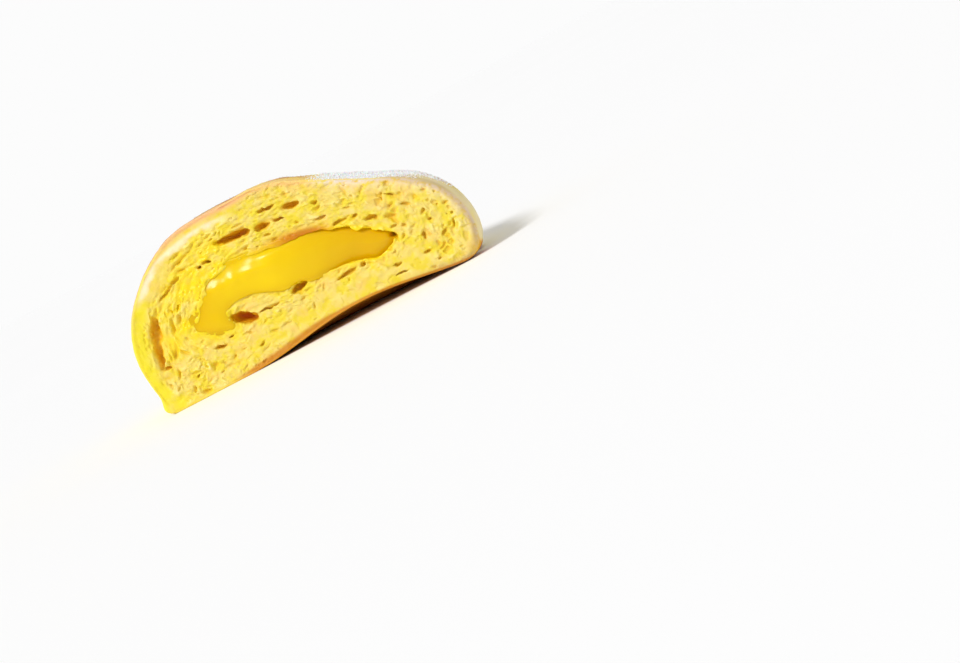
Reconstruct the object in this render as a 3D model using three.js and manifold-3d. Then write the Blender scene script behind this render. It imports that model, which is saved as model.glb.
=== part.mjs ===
// One half of a cream-filled croissant, cut across its middle and standing on its baked base.
// X runs along the width of the cut face, +Y from the cut face to the croissant's tip, +Z up. Millimetres.
// The rolled dough shows on the outside as bands, each ending in a rounded lip that steps down to the
// next band. The cut face shows the crumb, its slits, and the pocket that holds the custard.
import * as THREE from "three";
import { LoftGeometry } from "three/addons/geometries/LoftGeometry.js";
import { mergeVertices } from "three/addons/utils/BufferGeometryUtils.js";
import Module from "manifold-3d";

const wasm = await Module();
wasm.setup();

// Driving dimensions
const HALF_LENGTH = 78;
const CENTRE_HEIGHT = 14;
const TIP_HEIGHT = 9;
const SIDE_RADIUS = 45;
const ROUND_TOP = 25;
const BASE_ROUNDING = 3;
const TIP_BEND = -9;

// Radius of the cut face from its centre, every 15 degrees from the right side over the top to the left.
const DOME_RADII = [44, 37.6, 30.2, 26.7, 25.1, 25.2, 25.5, 26.3, 29.5, 34.3, 38.5, 42.9, 45.1];
const DOME_STEP = Math.PI / 12;

// Below the sides the section is a circle, a little larger than the sides.
const UNDER_RADIUS = 45.3;

// The outside narrows to the tip as (1 - (y / length)^power)^root, and goes from the face's form to a plain
// dome over the given stretch of Y.
const TAPER = { power: 2.7, root: 0.55 };
const FACE_FORM_HOLDS = 8;
const FACE_FORM_ENDS = 70;
// Lifts and lumps fade out where the section is less than this share of its full size.
const RELIEF_FADES_UNDER = 0.5;

// Bands: where each starts along Y, how far it lies below the form, how far its start slants back from the
// right side to the left, and how it waves.
const BANDS = [
  { start: 0, drop: 0, slant: 0, wave: 0 },
  { start: 15.5, drop: 1.7, slant: -2.5, wave: 0.8 },
  { start: 34, drop: 2.8, slant: -5, wave: 1.2 },
  { start: 50, drop: 4.4, slant: -4, wave: 0.7 },
  { start: 65, drop: 5.2, slant: -3, wave: 0.5 },
];
// Lift of a band's skin over its length, from the groove at its start to the lip at its end.
const BAND_SKIN = [
  [0.02, -2.3],
  [0.07, -1.2],
  [0.16, -0.2],
  [0.32, 0.7],
  [0.52, 1.0],
  [0.72, 0.8],
  [0.86, 0.4],
  [0.95, -0.2],
  [1.0, -1.1],
];
// The cut band starts part way along its skin, and the last band stays at its highest from there on.
const CUT_BAND_FROM = 0.2;
const LAST_BAND_HIGHEST = 0.52;
// Under the cut face the base arches up: how high, where its middle is, how wide to each side, how far back.
const ARCH = { height: 3.4, middle: 11, halfWidth: 33, depth: 24 };

// Low lumps: waves that each run this many times round the section, turn this much in a millimetre along Y,
// start at this angle and rise this share. The skin's and the crumb's lumps are this high.
const LUMP_WAVES = [
  { round: 3, along: 0.23, start: 0, share: 0.5 },
  { round: 5, along: -0.37, start: 1.7, share: 0.3 },
];
const SKIN_LUMPS = 0.35;
const CRUMB_RELIEF = 0.35;
// On the cut face the waves run across X and up Z instead, at this pace.
const CRUMB_PACE = { x: 0.13, z: 1.5 };
const TIP_STATIONS = [0.02, 0.07, 0.16, 0.3, 0.46, 0.62, 0.76, 0.87, 0.95, 0.99];

// Rings of the cut face, as shares of its outline.
const FACE_RINGS = [0.2, 0.38, 0.52, 0.64, 0.74, 0.83, 0.91, 0.96, 0.985];
const FACE_CENTRE_HEIGHT = 20;
// The crust's rim stands a little back from the cut, and the skin starts behind it.
const RIM_RECESS = 0.1;
const RIM_DEPTH = 0.5;

// Columns round the section: most over the dome, few under the base.
const DOME_COLUMNS = 54;
const BASE_COLUMNS = 14;
const DOME_FROM = -0.35;

// Custard: outline on the cut face round its own centre, recess behind the face, length and narrowing.
const CUSTARD_CENTRE = [0, 18];
const CUSTARD_OUTLINE = [
  [-28.2, -2.4],
  [-25.2, 1],
  [-22.4, 4.8],
  [-18, 7.2],
  [-8, 7.9],
  [4, 7],
  [14, 4.2],
  [21.5, 0],
  [26, -4.4],
  [20, -7.2],
  [15, -5.3],
  [4, -4.2],
  [-6.5, -2.2],
  [-13, 0],
  [-17.2, 0],
  [-19.6, -2.4],
  [-19.6, -6.1],
  [-24, -5],
];
const CUSTARD_POINTS = 64;
const CUSTARD_RECESS = 2.4;
const CUSTARD_LENGTH = 56;
const CUSTARD_END_SHARE = 0.42;
// Towards the tip the custard sinks to this height, and narrows as this power of the depth.
const CUSTARD_END_HEIGHT = 11.6;
const CUSTARD_NARROWING = 1.5;
const CUSTARD_GAP = 0.35;
const CUSTARD_ROWS = 7;
const CUSTARD_FRONT_BULGE = 0.8;

// Slits and air pockets that open on the cut face: place on it, length, thickness, tilt and depth.
const SLITS = [
  { x: -37.8, z: 20, length: 7.4, thick: 3.2, tilt: 70, depth: 3 },
  { x: -39.5, z: 15, length: 7.4, thick: 2.4, tilt: 77, depth: 3 },
  { x: -30.5, z: 27, length: 6.4, thick: 1, tilt: 27, depth: 2 },
  { x: -19, z: 29, length: 4.2, thick: 1, tilt: -8, depth: 2 },
  { x: -8.6, z: 31.5, length: 9.8, thick: 2.2, tilt: -6, depth: 4 },
  { x: -1.4, z: 30.4, length: 4.4, thick: 2, tilt: 0, depth: 3 },
  { x: 7.1, z: 31.8, length: 5.2, thick: 1.8, tilt: -4, depth: 3 },
  { x: 1.4, z: 33.8, length: 4.8, thick: 1, tilt: -4, depth: 2 },
  { x: -16.2, z: 12.9, length: 7.8, thick: 2.8, tilt: -27, depth: 4.5 },
  { x: -0.5, z: 13.4, length: 5, thick: 2.2, tilt: 14, depth: 3.5 },
  { x: 11.3, z: 10.8, length: 6.6, thick: 1.1, tilt: 6, depth: 2 },
  { x: 23, z: 20, length: 4, thick: 1.7, tilt: -20, depth: 2 },
  { x: 27.5, z: 18.2, length: 3.6, thick: 1.7, tilt: -22, depth: 2 },
];
const SLIT_SIDES = 10;

const DEGREE = Math.PI / 180;

function mix(a, b, share) {
  return a + (b - a) * share;
}

// Catmull-Rom through the radii of the dome; below the sides the radius is even.
function faceRadius(angle) {
  const turns = Math.round((2 * Math.PI) / DOME_STEP);
  const place = (((angle / DOME_STEP) % turns) + turns) % turns;
  const first = Math.floor(place);
  const t = place - first;
  const at = (i) => DOME_RADII[(i + turns) % turns] ?? UNDER_RADIUS;
  const [a, b, c, d] = [at(first - 1), at(first), at(first + 1), at(first + 2)];
  return b + 0.5 * t * (c - a + t * (2 * a - 5 * b + 4 * c - d + t * (3 * (b - c) + d - a)));
}

// A plain dome, SIDE_RADIUS wide each way and ROUND_TOP high over its centre.
function roundRadius(angle) {
  const rise = Math.max(0, Math.sin(angle)) / ROUND_TOP;
  return 1 / Math.hypot(rise, Math.sqrt(1 - Math.max(0, Math.sin(angle)) ** 2) / SIDE_RADIUS);
}

function taper(y) {
  return Math.max(0, 1 - (y / HALF_LENGTH) ** TAPER.power) ** TAPER.root;
}

function lumps(angle, y) {
  const rise = ({ round, along, start, share }) => share * Math.sin(round * angle + along * y + start);
  return LUMP_WAVES.reduce((sum, wave) => sum + rise(wave), 0);
}

function baseHeight(x, y) {
  const across = THREE.MathUtils.clamp((x - ARCH.middle) / ARCH.halfWidth, -1, 1);
  const fading = 1 - THREE.MathUtils.smoothstep(y, 0, ARCH.depth);
  return ARCH.height * fading * Math.cos((Math.PI / 2) * across) ** 2;
}

// Rounds the section off onto a base at z = 0.
function onBase(z) {
  if (z <= -BASE_ROUNDING) return 0;
  return z >= BASE_ROUNDING ? z : (z + BASE_ROUNDING) ** 2 / (4 * BASE_ROUNDING);
}

// A point of the outside: its angle round the section, its distance from the cut face, its lift off the form.
function outsidePoint(angle, y, lift) {
  const size = taper(y);
  const rounded = THREE.MathUtils.smoothstep(y, FACE_FORM_HOLDS, FACE_FORM_ENDS);
  const form = mix(faceRadius(angle), roundRadius(angle), rounded);
  const relief = (lift + SKIN_LUMPS * lumps(angle, y)) * Math.min(1, size / RELIEF_FADES_UNDER);
  const radius = form * size + relief;
  const x = TIP_BEND * (y / HALF_LENGTH) ** 2 + radius * Math.cos(angle);
  const z = mix(TIP_HEIGHT, CENTRE_HEIGHT, size) + radius * Math.sin(angle);
  const base = baseHeight(x, y);
  return new THREE.Vector3(x, y, base + onBase(z - base));
}

// Where a band starts at one side of the section.
function bandStart(band, angle) {
  if (band === 0) return 0;
  if (band === BANDS.length) return HALF_LENGTH;
  const { start, slant, wave } = BANDS[band];
  return start + slant * Math.cos(angle) + wave * Math.sin(3 * angle + 2 * band);
}

function ring(pointAt) {
  const domeEnds = Math.PI - DOME_FROM;
  const angles = [];
  for (let i = 0; i < DOME_COLUMNS; i++) angles.push(mix(DOME_FROM, domeEnds, i / DOME_COLUMNS));
  const baseEnds = DOME_FROM + 2 * Math.PI;
  for (let i = 0; i < BASE_COLUMNS; i++) angles.push(mix(domeEnds, baseEnds, i / BASE_COLUMNS));
  return angles.reverse().map(pointAt);
}

function facePoint(angle, share) {
  const edge = outsidePoint(angle, 0, 0);
  const x = edge.x * share;
  const z = mix(FACE_CENTRE_HEIGHT, edge.z, share);
  const isRim = share === FACE_RINGS.at(-1);
  const relief = CRUMB_RELIEF * (1 + lumps(x * CRUMB_PACE.x, z * CRUMB_PACE.z));
  return new THREE.Vector3(x, isRim ? RIM_RECESS : relief, z);
}

// Share and lift of each ring of a band.
function stationsOf(band) {
  if (band === 0) return [[RIM_DEPTH / BANDS[1].start, 0], ...BAND_SKIN.filter(([t]) => t > CUT_BAND_FROM)];
  if (band < BANDS.length - 1) return BAND_SKIN;
  const liftAt = (t) => BAND_SKIN.find(([at]) => at >= Math.min(t, LAST_BAND_HIGHEST))[1];
  return TIP_STATIONS.map((t) => [t, liftAt(t)]);
}

function bandRings(band) {
  return stationsOf(band).map(([t, lift]) =>
    ring((angle) => {
      const y = mix(bandStart(band, angle), bandStart(band + 1, angle), t);
      return outsidePoint(angle, y, lift - BANDS[band].drop);
    })
  );
}

// Joins the vertices that share a place and drops the triangles that lose their area by it.
function toSolid(geometry) {
  geometry.deleteAttribute("normal");
  geometry.deleteAttribute("uv");
  const merged = mergeVertices(geometry, 1e-4);
  const index = merged.index.array;
  const kept = [];
  for (let i = 0; i < index.length; i += 3) {
    const [a, b, c] = index.slice(i, i + 3);
    if (a !== b && b !== c && c !== a) kept.push(a, b, c);
  }
  const vertProperties = new Float32Array(merged.attributes.position.array);
  return new wasm.Manifold(new wasm.Mesh({ numProp: 3, vertProperties, triVerts: new Uint32Array(kept) }));
}

function toGeometry(solid) {
  const mesh = solid.getMesh();
  const geometry = new THREE.BufferGeometry();
  geometry.setAttribute("position", new THREE.BufferAttribute(mesh.vertProperties, 3));
  geometry.setIndex(new THREE.BufferAttribute(mesh.triVerts, 1));
  geometry.computeVertexNormals();
  return geometry;
}

// The croissant half without its hollows.
function doughSolid() {
  const faceCentre = ring(() => new THREE.Vector3(0, CRUMB_RELIEF, FACE_CENTRE_HEIGHT));
  const face = FACE_RINGS.map((share) => ring((angle) => facePoint(angle, share)));
  const bands = BANDS.flatMap((_, band) => bandRings(band));
  const tip = ring(() => new THREE.Vector3(TIP_BEND, HALF_LENGTH, TIP_HEIGHT));
  return toSolid(new LoftGeometry([faceCentre, ...face, ...bands, tip]));
}

// One section of the custard, or of its pocket where grown is more than nothing.
function custardRing(y, size, grown) {
  const outline = CUSTARD_OUTLINE.map(([x, z]) => new THREE.Vector3(x, 0, z));
  const curve = new THREE.CatmullRomCurve3(outline, true, "centripetal");
  const bend = TIP_BEND * (y / HALF_LENGTH) ** 2;
  const sinking = (size - CUSTARD_END_SHARE) / (1 - CUSTARD_END_SHARE);
  return Array.from({ length: CUSTARD_POINTS }, (_, i) => {
    const share = i / CUSTARD_POINTS;
    const point = curve.getPointAt(share);
    const along = curve.getTangentAt(share);
    const x = CUSTARD_CENTRE[0] + bend + point.x * size - along.z * grown;
    const z = mix(CUSTARD_END_HEIGHT, CUSTARD_CENTRE[1], sinking) + point.z * size + along.x * grown;
    return new THREE.Vector3(x, y, z);
  });
}

function custardSize(y) {
  return mix(1, CUSTARD_END_SHARE, (Math.max(0, y) / CUSTARD_LENGTH) ** CUSTARD_NARROWING);
}

function custardSolid() {
  const rings = [custardRing(CUSTARD_RECESS - CUSTARD_FRONT_BULGE, 1, -CUSTARD_FRONT_BULGE)];
  for (let i = 0; i <= CUSTARD_ROWS; i++) {
    const y = mix(CUSTARD_RECESS, CUSTARD_LENGTH, i / CUSTARD_ROWS);
    rings.push(custardRing(y, custardSize(y), 0));
  }
  return toSolid(new LoftGeometry(rings, { capStart: true, capEnd: true }));
}

function pocketSolid() {
  const rings = [custardRing(-CUSTARD_RECESS, 1, CUSTARD_GAP)];
  for (let i = 0; i <= CUSTARD_ROWS; i++) {
    const y = mix(CUSTARD_RECESS, CUSTARD_LENGTH, i / CUSTARD_ROWS);
    rings.push(custardRing(y, custardSize(y), CUSTARD_GAP));
  }
  rings.push(custardRing(CUSTARD_LENGTH + CUSTARD_GAP, CUSTARD_END_SHARE, CUSTARD_GAP));
  return toSolid(new LoftGeometry(rings, { capStart: true, capEnd: true }));
}

function slitSolid({ x, z, length, thick, tilt, depth }) {
  const geometry = new THREE.SphereGeometry(1, SLIT_SIDES, SLIT_SIDES / 2);
  geometry.scale(length / 2, depth, thick / 2);
  geometry.rotateY(-tilt * DEGREE);
  geometry.translate(x, 0, z);
  return toSolid(geometry);
}

let dough = doughSolid().subtract(pocketSolid());
for (const slit of SLITS) dough = dough.subtract(slitSolid(slit));

const doughMesh = new THREE.Mesh(
  toGeometry(dough),
  new THREE.MeshStandardMaterial({ color: 0xf3d264, roughness: 0.75, metalness: 0 })
);
doughMesh.name = "pastry";

const custardMesh = new THREE.Mesh(
  toGeometry(custardSolid()),
  new THREE.MeshStandardMaterial({ color: 0xf6c60a, roughness: 0.25, metalness: 0 })
);
custardMesh.name = "custard";

// The origin is the middle of the whole half's footprint, on the table.
const croissantHalf = new THREE.Group();
croissantHalf.name = "cream_filled_croissant";
croissantHalf.add(doughMesh, custardMesh);
const box = new THREE.Box3().setFromObject(croissantHalf);
croissantHalf.position.set(-(box.min.x + box.max.x) / 2, -(box.min.y + box.max.y) / 2, -box.min.z);

export default croissantHalf;
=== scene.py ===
"""The looks of one cream-filled croissant half: crumb, crust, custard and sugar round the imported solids."""

import math
from collections import namedtuple

import bpy
import numpy as np
from mathutils import Matrix, Vector


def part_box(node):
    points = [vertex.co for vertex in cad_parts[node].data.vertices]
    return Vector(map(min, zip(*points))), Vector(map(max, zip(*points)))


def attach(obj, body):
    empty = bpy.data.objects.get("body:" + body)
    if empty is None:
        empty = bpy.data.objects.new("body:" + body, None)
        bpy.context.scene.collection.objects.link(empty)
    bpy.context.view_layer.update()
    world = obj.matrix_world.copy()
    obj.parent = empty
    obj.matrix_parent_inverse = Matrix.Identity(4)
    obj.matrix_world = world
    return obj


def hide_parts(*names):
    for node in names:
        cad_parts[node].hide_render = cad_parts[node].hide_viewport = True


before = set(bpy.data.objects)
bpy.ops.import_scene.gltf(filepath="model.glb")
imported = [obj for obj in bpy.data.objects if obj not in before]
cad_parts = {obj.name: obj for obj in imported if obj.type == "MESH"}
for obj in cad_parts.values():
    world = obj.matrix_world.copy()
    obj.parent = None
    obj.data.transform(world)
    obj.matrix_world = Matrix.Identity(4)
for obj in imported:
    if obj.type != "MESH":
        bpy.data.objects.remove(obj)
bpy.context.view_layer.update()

# Millimetres hold for every shape here: x and z from the middle of the cut face's base, y from the cut face
# to the croissant's tip. A mesh is turned into the frame's metres when it is made.
MM = 0.001
DEGREE = math.pi / 180
HALF_LENGTH = 78.0
PASTRY_LOW, PASTRY_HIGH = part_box("pastry")
FACE_MIDDLE_RIGHT = 0.43
ORIGIN = np.array([
    (PASTRY_LOW.x + PASTRY_HIGH.x) / 2 + FACE_MIDDLE_RIGHT * MM,
    PASTRY_HIGH.y - HALF_LENGTH * MM,
    PASTRY_LOW.z,
])

# Form of the half, as in its solids. The radii go round the cut face from the right side over the top.
CENTRE_HEIGHT = 14.0
TIP_HEIGHT = 9.0
SIDE_RADIUS = 45.0
ROUND_TOP = 25.0
BASE_ROUNDING = 3.0
TIP_BEND = -9.0
DOME_RADII = (44, 37.6, 30.2, 26.7, 25.1, 25.2, 25.5, 26.3, 29.5, 34.3, 38.5, 42.9, 45.1)
DOME_STEP = math.pi / 12
UNDER_RADIUS = 45.3
TAPER_POWER = 2.7
TAPER_ROOT = 0.55
FACE_FORM_Y = (8, 70)
RELIEF_FADES_UNDER = 0.5

# Under the cut face the base arches up a little: height, middle, half width, and how far back it goes
ARCH_HEIGHT = 3.4
ARCH_MIDDLE = 11.0
ARCH_HALF_WIDTH = 33.0
ARCH_DEPTH = 24.0

# Bands of rolled dough: where each starts, how far it lies below the form, how its start slants and waves,
# and the slit under the lip before it: width, depth, and the angle at which it gapes most
Band = namedtuple("Band", "start drop slant wave gape deep at")
BANDS = (
    Band(-15.5, 0.0, 0.0, 0.0, 0.0, 0.0, 0.0),
    Band(15.5, 1.7, -2.5, 0.8, 3.2, 6.0, 0.6),
    Band(34.0, 2.8, -5.0, 1.2, 1.8, 4.0, 2.3),
    Band(50.0, 4.4, -4.0, 0.7, 2.4, 5.0, 1.0),
    Band(65.0, 5.2, -3.0, 0.5, 1.2, 3.0, 2.0),
)
BEYOND_TIP = 8
# A band rises out of its groove and falls to its lip. The cut band rises behind the cut instead.
GROOVE_DEPTH = 3.3
GROOVE_SHARE = 0.13
LIP_FALL = 1.3
LIP_POWER = 8
LIP_ROUNDING = 2.4
CUT_RISE = 0.7
CUT_RISE_REACH = 5
# Slits: how far under the band their width and depth are measured, how they lean and are set back, the
# least width, its share where they gape least, and the share of the depth that doesn't follow the gape
SLIT_LEVEL = 1.6
SLIT_LEAN = 0.9
SLIT_SET_BACK = 0.2
SLIT_NARROWEST = 0.9
SLIT_WIDTH_LEFT = 0.25
SLIT_DEPTH_LEFT = 0.4
SLIT_SPREAD = 0.75
SLIT_FLARE = 1.3
SLIT_ROUNDING = 0.4

# Thin creases where a band shows two layers: place along y over the top, slant, depth, middle angle, spread
CREASES = (
    (11.2, -2.0, 0.9, 0.7, 0.8),
    (27.5, -4.0, 0.7, 2.3, 0.7),
    (31.2, -4.6, 1.0, 1.5, 1.3),
    (44.0, -5.5, 0.8, 0.8, 0.9),
    (47.2, -4.4, 1.0, 2.0, 1.1),
    (57.0, -3.0, 0.8, 1.1, 1.0),
    (61.6, -3.6, 1.0, 2.2, 1.0),
    (70.0, -2.0, 0.7, 1.3, 1.2),
)
CREASE_WIDTH = 0.35
CREASE_ROUNDING = 0.5

# Unevenness is given as noises: height, size along x, y and z, and seed.
SKIN_BUMPS = ((0.3, 9, 9, 9, 1), (0.07, 2.4, 3.1, 2.4, 2))
BACK_BUMPS = ((0.14, 5, 4, 5, 5),)
BACK_Y = (2, 6)
CREASE_WANDER = ((0.6, 6, 6, 12, 3),)
POCKET_BUMPS = ((0.5, 2.2, 2.2, 1.6, 51), (0.25, 0.9, 0.9, 0.8, 52))
RIM_FINE = ((0.3, 0.9, 0.9, 0.9, 4),)
RIM_COARSE = ((0.3, 3.3, 3.3, 3.3, 6),)

# Toe that stands out at the lower left corner of the cut face
TOE_OUT = 1.5
TOE_HEIGHT = 1.6
TOE_THICKNESS = 2.4
TOE_REACH = 16
TOE_X = (-34, -42)

# Edge of the cut: its right side, drawn in and rounder there, and its top, ragged there, both as angles
RIGHT_BEGINS, RIGHT_ENDS = (-0.75, -0.3), (1.15, 0.6)
TOP_BEGINS, TOP_ENDS = (0.9, 1.2), (2.6, 2.3)
RIM_DRAWN_IN = 1.2
RIM_DRAWN_REACH = 2
RIM_ROUNDING, RIM_ROUNDING_RIGHT = 0.35, 2.2
RIM_FINE_LEAST = 0.3
RIM_FINE_REACH = 0.8
RIM_COARSE_REACH = 3
# The base's edge is sharper at the left end and rounder at the right.
BASE_SHARPER, BASE_SHARPER_X = 1.2, (-36, -42)
BASE_ROUNDER, BASE_ROUNDER_X = 2.5, (30, 40)

# Custard and its pocket, as in the solids
CUSTARD_MIDDLE = 18.0
CUSTARD_OUTLINE = (
    (-28.2, -2.4), (-25.2, 1), (-22.4, 4.8), (-18, 7.2), (-8, 7.9), (4, 7), (14, 4.2), (21.5, 0), (26, -4.4),
    (20, -7.2), (15, -5.3), (4, -4.2), (-6.5, -2.2), (-13, 0), (-17.2, 0), (-19.6, -2.4), (-19.6, -6.1),
    (-24, -5),
)
CUSTARD_LENGTH = 56.0
CUSTARD_END_SHARE = 0.42
CUSTARD_END_HEIGHT = 11.6
CUSTARD_NARROWING = 1.5
POCKET_TIGHTER = 0.1
POCKET_LONGER = 0.3
POCKET_UNEVEN_REACH = 5
POCKET_ROUNDING, REAR_POCKET_ROUNDING = 0.35, 0.5
# Crumb that hangs over the custard's edge: x, z, half width, half height
OVERHANGS = (
    (18.6, 20.0, 1.1, 2.2), (-22.3, 21.4, 1.4, 1.2), (13.6, 22.6, 1.4, 0.8),
    (-8.5, 16.3, 2.2, 0.7), (1.5, 24.7, 7.5, 1.4),
)
OVERHANG_DEPTH = 1.5
OVERHANG_REACH = 2.2

# Slits and air pockets on the cut face: x, z, length, thickness, tilt in degrees, depth
SLITS = (
    # Between the outer layer and the next one, from the left side up over the top
    (-37.7, 19.6, 8.6, 3.1, 69, 3.2), (-39.4, 14.6, 8.6, 2.4, 76, 3.2), (-39.1, 10.6, 2.2, 0.9, 12, 2.4),
    (-30.5, 27.0, 6.4, 1.0, 27, 1.9), (-27.2, 28.8, 3.4, 1.1, 18, 1.8), (-24.3, 30.1, 3.0, 0.7, 5, 1.9),
    (-24.2, 32.3, 1.8, 1.0, 20, 1.5), (-20.1, 29.0, 1.6, 0.9, -5, 2.8), (-17.9, 29.0, 2.4, 0.9, -12, 2.8),
    (-9.6, 31.5, 10.2, 1.7, -7, 4.2), (-7.2, 31.4, 5.6, 2.5, -4, 4.2), (-1.4, 30.4, 4.4, 2.0, 0, 3.2),
    (3.1, 29.9, 3.2, 0.8, -14, 2.6), (7.1, 31.8, 5.2, 1.8, -4, 3.4), (1.4, 33.8, 4.8, 1.0, -4, 2.4),
    # In the left part
    (-35.4, 13.4, 5.0, 1.5, 62, 1.7), (-33.0, 19.0, 5.4, 1.2, 66, 1.5), (-30.6, 20.0, 3.0, 1.0, 76, 1.6),
    (-37.5, 8.1, 3.4, 1.0, 70, 1.5), (-24.9, 9.3, 3.8, 0.9, -14, 2.2), (-21.3, 10.4, 1.6, 0.7, 0, 2.2),
    (-28.4, 6.0, 1.8, 1.5, 0, 1.6), (-33.5, 5.5, 1.6, 0.7, 20, 1.7), (-35.8, 3.1, 2.2, 0.9, 62, 1.5),
    (-23.0, 5.8, 1.6, 0.8, 30, 1.6), (-15.4, 5.2, 1.8, 0.6, 10, 1.5), (-29.6, 22.6, 2.2, 0.8, 34, 1.5),
    # Over the custard
    (-7.4, 27.6, 2.0, 0.8, 5, 1.7), (-1.2, 27.9, 2.4, 0.8, -4, 1.8), (6.6, 27.4, 1.8, 0.6, -20, 1.4),
    (12.2, 25.6, 3.2, 1.0, -8, 2.0), (16.0, 22.8, 4.0, 0.7, -8, 2.4), (19.4, 22.3, 2.2, 1.1, 18, 1.9),
    (12.6, 29.8, 1.8, 1.0, 0, 1.8), (12.5, 28.2, 2.2, 1.1, 10, 1.7), (19.0, 25.1, 2.2, 0.6, -25, 1.6),
    # Under the custard's tongue and along its lower side
    (-16.2, 12.9, 7.8, 2.8, -27, 5.2), (-9.6, 12.3, 6.2, 0.7, 0, 2.2), (-0.5, 13.4, 5.0, 2.2, 14, 3.9),
    (11.3, 10.8, 6.6, 1.0, 6, 2.2), (16.1, 11.2, 1.6, 1.3, 30, 2.2), (25.4, 14.1, 3.6, 1.7, -48, 3.4),
    # In the right part
    (23.0, 20.0, 4.0, 1.7, -20, 2.1), (27.5, 18.2, 3.6, 1.7, -22, 2.0), (28.5, 20.5, 2.2, 1.5, 15, 1.7),
    (29.7, 22.8, 3.6, 0.7, -35, 2.0), (27.4, 23.3, 2.8, 0.9, 60, 1.7), (32.2, 19.0, 3.2, 0.8, -30, 1.6),
    (27.0, 15.6, 1.9, 1.0, 0, 1.7), (35.0, 15.8, 1.7, 1.2, 45, 1.7), (35.3, 13.2, 1.2, 0.8, 0, 1.9),
    (32.5, 10.3, 2.6, 1.1, 80, 1.8), (37.2, 8.8, 2.0, 1.2, 30, 1.8), (40.0, 9.8, 2.4, 0.8, 80, 1.6),
    (23.3, 7.4, 3.0, 0.7, 0, 1.7), (31.2, 6.7, 2.9, 1.0, -8, 1.8), (23.5, 5.0, 4.0, 0.7, -8, 1.7),
)

# Steps of the grids: behind the cut face, deeper in the cut band, in the bands behind it and in the custard
FACE_STEP = 0.22
CUT_BAND_STEP = 0.45
BODY_STEP = 0.45
CUSTARD_STEP = 0.35
CUT_BAND_TRIANGLES = 194_000
BODY_TRIANGLES = 110_000
# Where the grids and their zones begin and end along y, and how far they reach to the sides and up
FACE_ZONE = 5.0
HOLLOW_ZONE = 9.0
CUT_BAND_ENDS = 20.5
REAR_GRID_BEGINS = 8.0
REAR_FRONT = 10.0
REAR_POCKET_ENDS = CUSTARD_LENGTH + 3
CUSTARD_GRID_X, CUSTARD_GRID_Z = (-31, 29), (5, 29)
CUSTARD_FRONT_Y, CUSTARD_REST_Y = (-2, 6), (6, CUSTARD_LENGTH + 2)
GRID_MARGIN = 1.2
SECTION_HALF_WIDTH = 46.6
SECTION_HEIGHT = 41.2


def mix(a, b, share):
    return a + (b - a) * share


def ramp(low, high, value):
    """A smooth rise from 0 at low to 1 at high, or a smooth fall where high is the lower one."""
    t = np.clip((value - low) / (high - low), 0, 1)
    return t * t * (3 - 2 * t)


def span(low, low_full, high_full, high, value):
    """One from low_full to high_full, and nothing below low or above high."""
    return ramp(low, low_full, value) * (1 - ramp(high_full, high, value))


def bell(value, middle, width):
    return np.exp(-(((value - middle) / width) ** 2))


def spot(x, z, middle_x, middle_z, wide, high):
    return np.exp(-(((x - middle_x) / wide) ** 2) - ((z - middle_z) / high) ** 2)


def fading(depth, reach):
    """One down to a depth of nothing, and then less and less."""
    return np.exp(-np.maximum(depth, 0) / reach)


def smooth_max(a, b, reach):
    """The greater of two fields, with the edge between them rounded over about reach."""
    overlap = np.maximum(reach - np.abs(a - b), 0)
    return np.maximum(a, b) + overlap * overlap / (4 * reach)


def turned(across, up, direction):
    """A place as it is seen along and across a direction."""
    c, s = math.cos(direction), math.sin(direction)
    return across * c + up * s, up * c - across * s


CORNERS = tuple((c & 1, c >> 1 & 1, c >> 2) for c in range(8))
NOISE_SIDE = 32


def noise(x, y, z, seed):
    """Smooth random values from -1 to 1, one cell of them to each unit of x, y and z."""
    values = np.random.default_rng(seed).uniform(-1, 1, (NOISE_SIDE,) * 3).astype(np.float32)
    cells, shares = [], []
    for place in (x, y, z):
        low = np.floor(place)
        share = place - low
        cells.append(low.astype(np.int32))
        shares.append(share * share * (3 - 2 * share))
    total = 0
    for corner in CORNERS:
        weight = 1
        for share, step in zip(shares, corner):
            weight = weight * (share if step else 1 - share)
        index = tuple((cell + step) % NOISE_SIDE for cell, step in zip(cells, corner))
        total = total + weight * values[index]
    return total


def bumps(x, y, z, noises, level=0.0):
    """The level with noises on it, each given by height, size along x, y and z, and seed."""
    for height, wide, deep, high, seed in noises:
        level = level + height * noise(x / wide, y / deep, z / high, seed)
    return level


def face_noise(x, z, wide, high, seed):
    """Noise in the plane of the cut face."""
    return noise(x / wide, z / high, 0 * x + 0.5, seed)


def face_radius(angle):
    """Catmull-Rom through the radii of the dome; below the sides the radius is even."""
    turns = round(2 * math.pi / DOME_STEP)
    radii = np.full(turns, UNDER_RADIUS, np.float32)
    radii[: len(DOME_RADII)] = DOME_RADII
    place = (angle / DOME_STEP) % turns
    first = np.floor(place).astype(np.int32)
    t = place - first
    a, b, c, d = (radii[(first + step) % turns] for step in (-1, 0, 1, 2))
    return b + 0.5 * t * (c - a + t * (2 * a - 5 * b + 4 * c - d + t * (3 * (b - c) + d - a)))


def round_radius(angle):
    rise = np.maximum(0, np.sin(angle))
    return 1 / np.hypot(rise / ROUND_TOP, np.sqrt(1 - rise * rise) / SIDE_RADIUS)


def taper(y):
    return np.maximum(0, 1 - (np.maximum(y, 0) / HALF_LENGTH) ** TAPER_POWER) ** TAPER_ROOT


def base_height(x, y):
    across = np.clip((x - ARCH_MIDDLE) / ARCH_HALF_WIDTH, -1, 1)
    return ARCH_HEIGHT * np.cos(math.pi / 2 * across) ** 2 * (1 - ramp(0, ARCH_DEPTH, y))


def face_angle(x, z):
    """Angle round the cut face, from the right side over the top to the left."""
    return np.arctan2(z - CENTRE_HEIGHT, x)


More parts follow.
